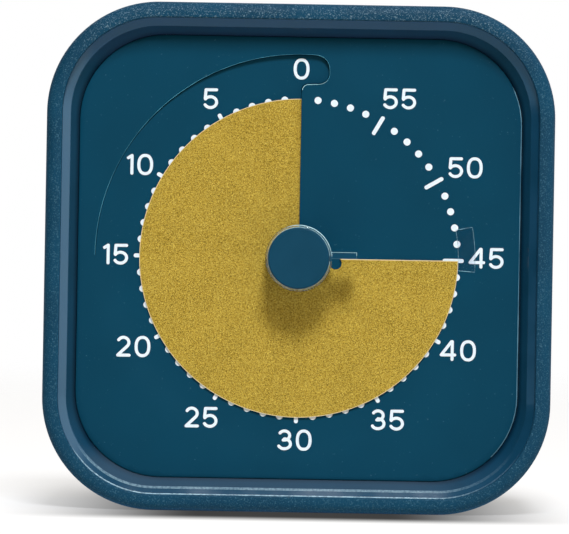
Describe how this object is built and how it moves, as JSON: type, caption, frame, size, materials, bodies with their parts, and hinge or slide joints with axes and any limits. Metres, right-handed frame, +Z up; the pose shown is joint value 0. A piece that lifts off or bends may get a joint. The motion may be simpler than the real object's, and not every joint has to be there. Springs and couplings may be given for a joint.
{
  "type": "visual countdown timer",
  "caption": "Square desk timer with a recessed dial, a coloured disk that winds out through a radial slit, a central setting knob, a quartz movement and a soft cover",
  "frame": {"origin": "centre of the flat base that the timer stands on, midway through the depth of its case", "axes": "+Z up, the dial faces -Y, +X to the right of someone who reads the dial"},
  "size_m": [0.089, 0.0466, 0.089],
  "materials": {
    "cover_silicone": "matt moulded silicone with a fine speckle",
    "housing_plastic": "moulded ABS, fine satin texture",
    "dial_sheet": "matt printed plastic sheet",
    "disk_gold": "metallic gold printed film",
    "clear_plastic": "clear acrylic",
    "knob_plastic": "satin moulded plastic",
    "white_plastic": "natural acetal",
    "movement_plastic": "moulded black plastic",
    "steel": "bright steel",
    "spring_bronze": "spring bronze",
    "nickel": "nickel plate",
    "copper_wire": "enamelled copper wire",
    "board_green": "solder-masked circuit board",
    "magnet": "sintered ferrite",
    "cell_wrap": "plain shrink sleeve",
    "lead_red": "PVC insulation",
    "lead_black": "PVC insulation",
    "lead_blue": "PVC insulation",
    "buzzer_black": "moulded plastic"
  },
  "bodies": {
    "case": {"silicone_cover": "cover_silicone", "front_housing": "housing_plastic", "rear_housing": "housing_plastic", "face_plate": "dial_sheet", "movement_front": "movement_plastic", "movement_rear": "movement_plastic", "movement_screws": "steel", "housing_screws": "steel", "stator": "steel", "coil_core": "steel", "coil_bobbin": "movement_plastic", "coil_winding": "copper_wire", "circuit_board": "board_green", "quartz_crystal": "nickel", "alarm_spring": "spring_bronze", "alarm_contact": "spring_bronze", "aa_cell": "cell_wrap", "positive_contact": "nickel", "negative_contact": "nickel", "buzzer": "buzzer_black", "switch_body": "nickel", "positive_lead": "lead_red", "negative_lead": "lead_black", "buzzer_leads": "lead_blue", "switch_leads": "lead_blue"},
    "knob": {"spindle": "steel", "knob_shell": "clear_plastic", "knob_cap": "knob_plastic", "clutch_collet": "spring_bronze", "clutch_spring": "spring_bronze", "alarm_cam": "white_plastic"},
    "disk": {"disk_hub": "white_plastic", "time_disk": "disk_gold", "keeper_tab": "clear_plastic"},
    "door": {"battery_door": "housing_plastic"},
    "sound_slide": {"switch_slider": "knob_plastic"},
    "centre_arbor": {"centre_wheel": "white_plastic"},
    "third_arbor": {"third_wheel": "white_plastic"},
    "second_arbor": {"second_wheel": "white_plastic"},
    "step_arbor": {"step_wheel": "white_plastic"},
    "rotor": {"rotor_pinion": "white_plastic", "rotor_magnet": "magnet"}
  },
  "joints": [
    {"name": "timer_set", "type": "hinge", "parent": "case", "child": "knob", "pos_m": [0, -0.007, 0.0445], "axis": [0, -1, 0], "range_deg": [-270, 90]},
    {"name": "disk_feed", "type": "slide", "parent": "knob", "child": "disk", "axis": [0, -1, 0], "range_m": [-0.00076, 0.00026]},
    {"name": "battery_door_hinge", "type": "hinge", "parent": "case", "child": "door", "pos_m": [0, 0.01915, 0.03445], "axis": [1, 0, 0], "range_deg": [0, 80]},
    {"name": "sound_switch", "type": "slide", "parent": "case", "child": "sound_slide", "axis": [1, 0, 0], "range_m": [0, 0.003]},
    {"name": "step_wheel_spin", "type": "hinge", "parent": "case", "child": "step_arbor", "pos_m": [-0.00311, -0.007, 0.05475], "axis": [0, -1, 0], "continuous": true},
    {"name": "rotor_spin", "type": "hinge", "parent": "case", "child": "rotor", "pos_m": [0.00262, -0.007, 0.05877], "axis": [0, -1, 0], "continuous": true},
    {"name": "second_wheel_spin", "type": "hinge", "parent": "case", "child": "second_arbor", "pos_m": [-0.0102, -0.007, 0.0535], "axis": [0, -1, 0], "continuous": true},
    {"name": "third_wheel_spin", "type": "hinge", "parent": "case", "child": "third_arbor", "pos_m": [-0.0102, -0.007, 0.0445], "axis": [0, -1, 0], "continuous": true},
    {"name": "centre_wheel_spin", "type": "hinge", "parent": "case", "child": "centre_arbor", "pos_m": [0, -0.007, 0.0445], "axis": [0, -1, 0], "continuous": true}
  ],
  "couplings": [
    {"joint": "disk_feed", "follows": "timer_set", "m_per_rad": 0.00015915},
    {"joint": "rotor_spin", "follows": "step_wheel_spin", "ratio": -6},
    {"joint": "second_wheel_spin", "follows": "step_wheel_spin", "ratio": -0.2},
    {"joint": "third_wheel_spin", "follows": "step_wheel_spin", "ratio": 0.025},
    {"joint": "centre_wheel_spin", "follows": "step_wheel_spin", "ratio": -0.0033333}
  ]
}
